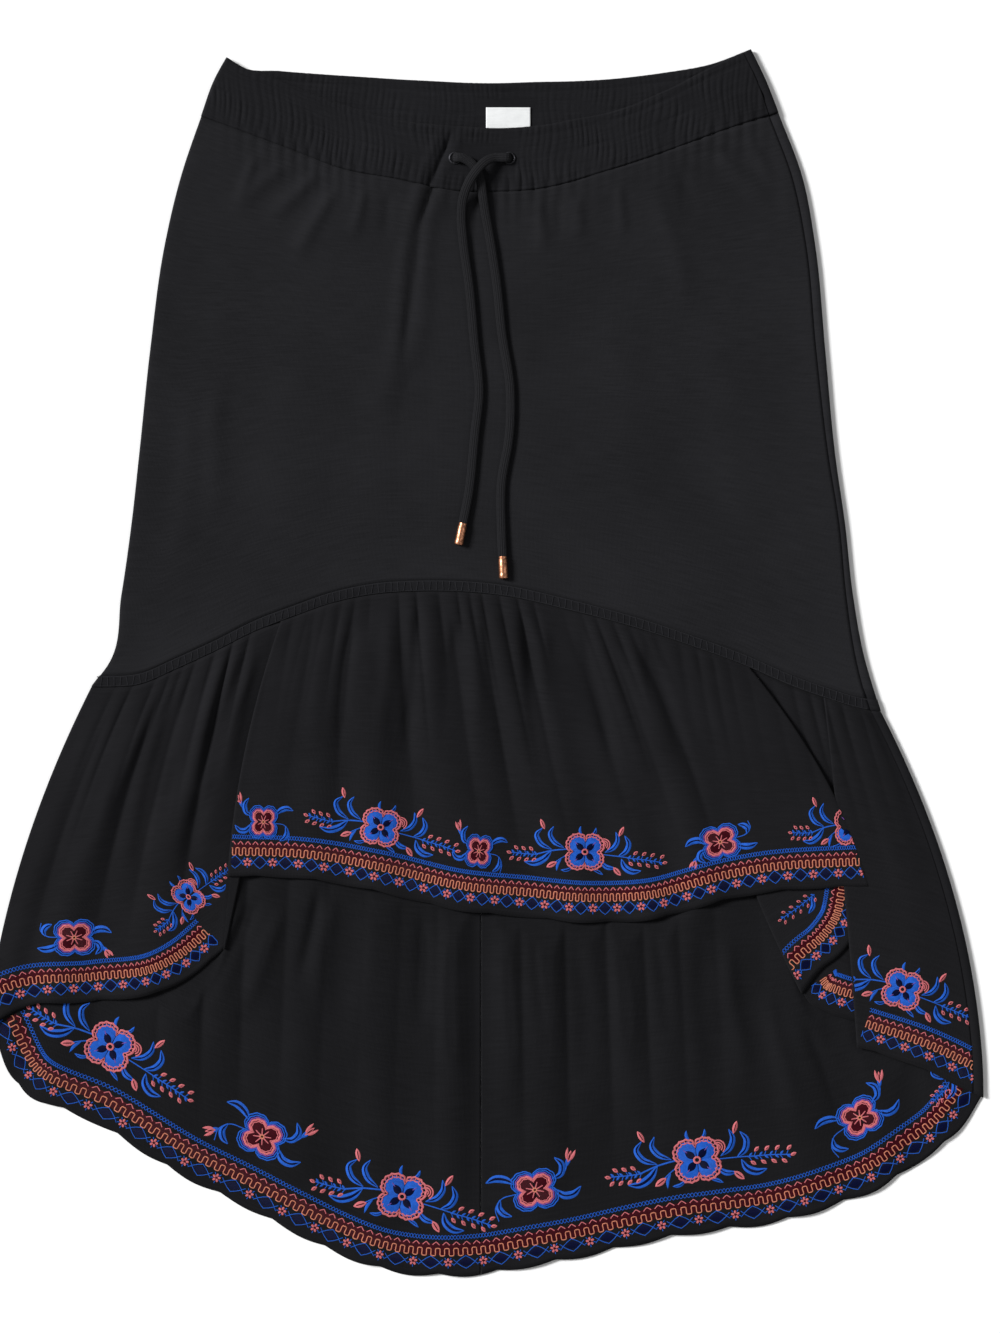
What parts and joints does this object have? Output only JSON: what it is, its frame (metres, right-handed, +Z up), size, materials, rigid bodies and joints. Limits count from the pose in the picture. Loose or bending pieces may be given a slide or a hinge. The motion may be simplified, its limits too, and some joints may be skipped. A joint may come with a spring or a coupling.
{
  "type": "high-low maxi skirt laid flat",
  "caption": "High-low maxi skirt laid flat: gathered elastic waistband with drawstring, plain body, raised seam band on an arched yoke and a gathered embroidered ruffle.",
  "frame": {"origin": "on the floor under the middle of the skirt's back body, where the laid skirt rests", "axes": "+X to the viewer's right across the laid skirt, +Y from the hem towards the waist, +Z up from the floor through its plies"},
  "size_m": [0.8967, 1.1049, 0.0199],
  "materials": {
    "black_crepe": "matte black crepe",
    "black_crepe_ruffle": "matte black crepe",
    "black_cord": "matte woven cord",
    "copper_tip": "worn copper",
    "dark_metal_eyelet": "black enamel",
    "white_satin_label": "woven satin"
  },
  "bodies": {
    "root": {"waistband_front": "black_crepe", "waistband_back": "black_crepe", "body_front": "black_crepe", "body_back": "black_crepe", "seam_band_front": "black_crepe", "seam_band_back": "black_crepe", "ruffle_front": "black_crepe_ruffle", "ruffle_back_left": "black_crepe_ruffle", "ruffle_back_right": "black_crepe_ruffle", "drawstring_left": "black_cord", "drawstring_right": "black_cord", "tip_left": "copper_tip", "tip_right": "copper_tip", "eyelet_left": "dark_metal_eyelet", "eyelet_right": "dark_metal_eyelet", "label": "white_satin_label"}
  },
  "joints": []
}
